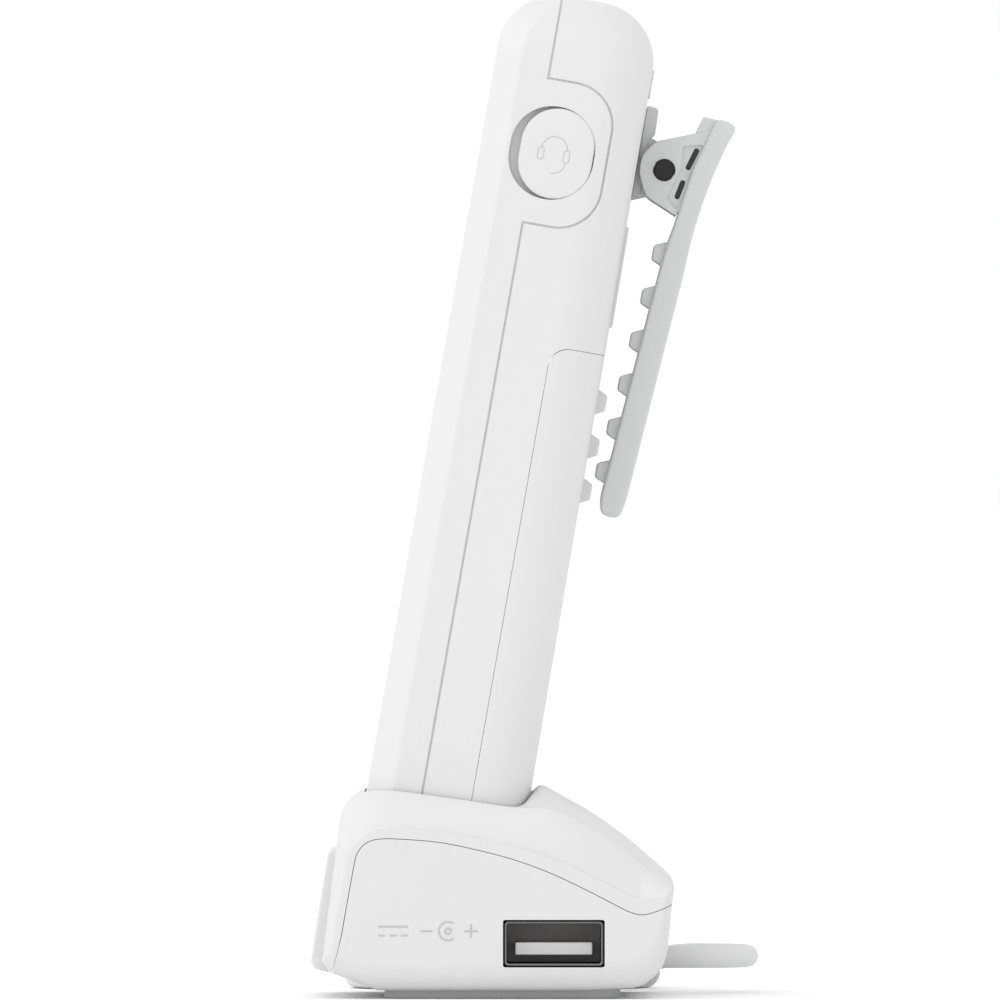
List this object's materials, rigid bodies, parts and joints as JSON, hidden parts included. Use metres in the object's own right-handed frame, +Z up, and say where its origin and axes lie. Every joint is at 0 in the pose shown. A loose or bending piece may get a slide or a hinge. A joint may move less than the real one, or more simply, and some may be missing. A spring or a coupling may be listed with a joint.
{
  "type": "cordless phone with base",
  "caption": "Upright cordless handset with keypad, display, headset jack and sprung belt clip, standing in a small charging cradle with a USB port and a corded power lead.",
  "frame": {"origin": "middle of the bottom of the object without its power cord, on the surface it stands on", "axes": "+Z up, -Y towards the handset's display side, +X towards the side with the USB port and the headset jack"},
  "size_m": [0.1094, 0.0608, 0.1358],
  "materials": {
    "base_shell": "fine-textured white moulded plastic",
    "handset_shell": "fine-textured white moulded plastic",
    "front_panel": "satin white plastic",
    "foot_rubber": "grey elastomer foot",
    "steel": "plated steel",
    "port_tongue": "light grey moulded insulator",
    "circuit_board": "green solder mask",
    "cord_jacket": "soft light grey jacket",
    "black_plastic": "black plastic",
    "clip_pin": "black oxide steel pin",
    "contact_gold": "gold-plated contact",
    "inlay": "satin white plastic strip",
    "display_glass": "clear hard-coated window over a dark display",
    "clip_plastic": "light grey moulded plastic",
    "key_plastic": "light grey satin keys"
  },
  "bodies": {
    "base": {"base_cowl": "base_shell", "base_tub": "base_shell", "base_front_panel": "front_panel", "base_pad_left": "foot_rubber", "base_pad_right": "foot_rubber", "base_screw_left": "steel", "base_screw_right": "steel", "usb_port_shell": "steel", "usb_port_tongue": "port_tongue", "base_circuit_board": "circuit_board", "cord_grommet": "cord_jacket", "cord_coil": "cord_jacket", "cord_tie": "black_plastic", "cord_lead": "cord_jacket", "cord_tail": "cord_jacket", "plug_body": "cord_jacket", "plug_shell": "steel"},
    "charge_pin_left": {"charge_pin_left": "contact_gold"},
    "charge_pin_right": {"charge_pin_right": "contact_gold"},
    "handset": {"front_housing": "handset_shell", "rear_housing": "handset_shell", "battery_cover": "handset_shell", "battery_pack": "black_plastic", "rear_inlay": "inlay", "display_lens": "display_glass", "display_module": "black_plastic", "main_board": "circuit_board", "earpiece": "black_plastic", "microphone": "black_plastic", "ringer_speaker": "black_plastic", "antenna": "contact_gold", "headset_jack": "black_plastic", "charge_contact_left": "contact_gold", "charge_contact_right": "contact_gold", "housing_screw_left": "steel", "housing_screw_right": "steel", "clip_bracket": "clip_plastic", "clip_pin": "clip_pin", "clip_spring": "steel"},
    "belt_clip": {"belt_clip_arm": "clip_plastic"},
    "headset_cover": {"headset_cover": "handset_shell"},
    "volume_rocker": {"volume_rocker": "key_plastic"},
    "key_star": {"key_star": "key_plastic"},
    "key_0": {"key_0": "key_plastic"},
    "key_pound": {"key_pound": "key_plastic"},
    "key_7": {"key_7": "key_plastic"},
    "key_8": {"key_8": "key_plastic"},
    "key_9": {"key_9": "key_plastic"},
    "key_4": {"key_4": "key_plastic"},
    "key_5": {"key_5": "key_plastic"},
    "key_6": {"key_6": "key_plastic"},
    "key_1": {"key_1": "key_plastic"},
    "key_2": {"key_2": "key_plastic"},
    "key_3": {"key_3": "key_plastic"},
    "talk_key": {"talk_key": "key_plastic"},
    "soft_key_left": {"soft_key_left": "key_plastic"},
    "end_key": {"end_key": "key_plastic"},
    "soft_key_right": {"soft_key_right": "key_plastic"},
    "nav_ring": {"nav_ring": "key_plastic"},
    "ok_key": {"ok_key": "key_plastic"}
  },
  "joints": [
    {"name": "handset_lift", "type": "slide", "parent": "base", "child": "handset", "axis": [0, 0.1736, 0.9848], "range_m": [0, 0.045]},
    {"name": "charge_pin_left_press", "type": "slide", "parent": "base", "child": "charge_pin_left", "axis": [0, -0.1736, -0.9848], "range_m": [0, 0.0006], "stiffness_N_per_m": 300, "springref_m": -0.0008},
    {"name": "charge_pin_right_press", "type": "slide", "parent": "base", "child": "charge_pin_right", "axis": [0, -0.1736, -0.9848], "range_m": [0, 0.0006], "stiffness_N_per_m": 300, "springref_m": -0.0008},
    {"name": "belt_clip_hinge", "type": "hinge", "parent": "handset", "child": "belt_clip", "pos_m": [0, 0.01901, 0.11182], "axis": [1, 0, 0], "range_deg": [0, 22], "stiffness_Nm_per_rad": 0.12, "springref_deg": -20.05},
    {"name": "headset_cover_hinge", "type": "hinge", "parent": "handset", "child": "headset_cover", "pos_m": [0.02415, 0.00932, 0.11302], "axis": [0, 0.1736, 0.9848], "range_deg": [0, 100]},
    {"name": "volume_rocker_press", "type": "slide", "parent": "handset", "child": "volume_rocker", "axis": [1, 0, 0], "range_m": [0, 0.0005], "stiffness_N_per_m": 1200, "springref_m": -0.0002},
    {"name": "key_star_press", "type": "slide", "parent": "handset", "child": "key_star", "axis": [0, 0.9848, -0.1736], "range_m": [0, 0.0006], "stiffness_N_per_m": 1200, "springref_m": -0.0002},
    {"name": "key_0_press", "type": "slide", "parent": "handset", "child": "key_0", "axis": [0, 0.9848, -0.1736], "range_m": [0, 0.0006], "stiffness_N_per_m": 1200, "springref_m": -0.0002},
    {"name": "key_pound_press", "type": "slide", "parent": "handset", "child": "key_pound", "axis": [0, 0.9848, -0.1736], "range_m": [0, 0.0006], "stiffness_N_per_m": 1200, "springref_m": -0.0002},
    {"name": "key_7_press", "type": "slide", "parent": "handset", "child": "key_7", "axis": [0, 0.9848, -0.1736], "range_m": [0, 0.0006], "stiffness_N_per_m": 1200, "springref_m": -0.0002},
    {"name": "key_8_press", "type": "slide", "parent": "handset", "child": "key_8", "axis": [0, 0.9848, -0.1736], "range_m": [0, 0.0006], "stiffness_N_per_m": 1200, "springref_m": -0.0002},
    {"name": "key_9_press", "type": "slide", "parent": "handset", "child": "key_9", "axis": [0, 0.9848, -0.1736], "range_m": [0, 0.0006], "stiffness_N_per_m": 1200, "springref_m": -0.0002},
    {"name": "key_4_press", "type": "slide", "parent": "handset", "child": "key_4", "axis": [0, 0.9848, -0.1736], "range_m": [0, 0.0006], "stiffness_N_per_m": 1200, "springref_m": -0.0002},
    {"name": "key_5_press", "type": "slide", "parent": "handset", "child": "key_5", "axis": [0, 0.9848, -0.1736], "range_m": [0, 0.0006], "stiffness_N_per_m": 1200, "springref_m": -0.0002},
    {"name": "key_6_press", "type": "slide", "parent": "handset", "child": "key_6", "axis": [0, 0.9848, -0.1736], "range_m": [0, 0.0006], "stiffness_N_per_m": 1200, "springref_m": -0.0002},
    {"name": "key_1_press", "type": "slide", "parent": "handset", "child": "key_1", "axis": [0, 0.9848, -0.1736], "range_m": [0, 0.0006], "stiffness_N_per_m": 1200, "springref_m": -0.0002},
    {"name": "key_2_press", "type": "slide", "parent": "handset", "child": "key_2", "axis": [0, 0.9848, -0.1736], "range_m": [0, 0.0006], "stiffness_N_per_m": 1200, "springref_m": -0.0002},
    {"name": "key_3_press", "type": "slide", "parent": "handset", "child": "key_3", "axis": [0, 0.9848, -0.1736], "range_m": [0, 0.0006], "stiffness_N_per_m": 1200, "springref_m": -0.0002},
    {"name": "talk_key_press", "type": "slide", "parent": "handset", "child": "talk_key", "axis": [0, 0.9848, -0.1736], "range_m": [0, 0.0006], "stiffness_N_per_m": 1200, "springref_m": -0.0002},
    {"name": "soft_key_left_press", "type": "slide", "parent": "handset", "child": "soft_key_left", "axis": [0, 0.9848, -0.1736], "range_m": [0, 0.0006], "stiffness_N_per_m": 1200, "springref_m": -0.0002},
    {"name": "end_key_press", "type": "slide", "parent": "handset", "child": "end_key", "axis": [0, 0.9848, -0.1736], "range_m": [0, 0.0006], "stiffness_N_per_m": 1200, "springref_m": -0.0002},
    {"name": "soft_key_right_press", "type": "slide", "parent": "handset", "child": "soft_key_right", "axis": [0, 0.9848, -0.1736], "range_m": [0, 0.0006], "stiffness_N_per_m": 1200, "springref_m": -0.0002},
    {"name": "nav_ring_press", "type": "slide", "parent": "handset", "child": "nav_ring", "axis": [0, 0.9848, -0.1736], "range_m": [0, 0.0006], "stiffness_N_per_m": 1200, "springref_m": -0.0002},
    {"name": "ok_key_press", "type": "slide", "parent": "handset", "child": "ok_key", "axis": [0, 0.9848, -0.1736], "range_m": [0, 0.0006], "stiffness_N_per_m": 1200, "springref_m": -0.0002}
  ]
}
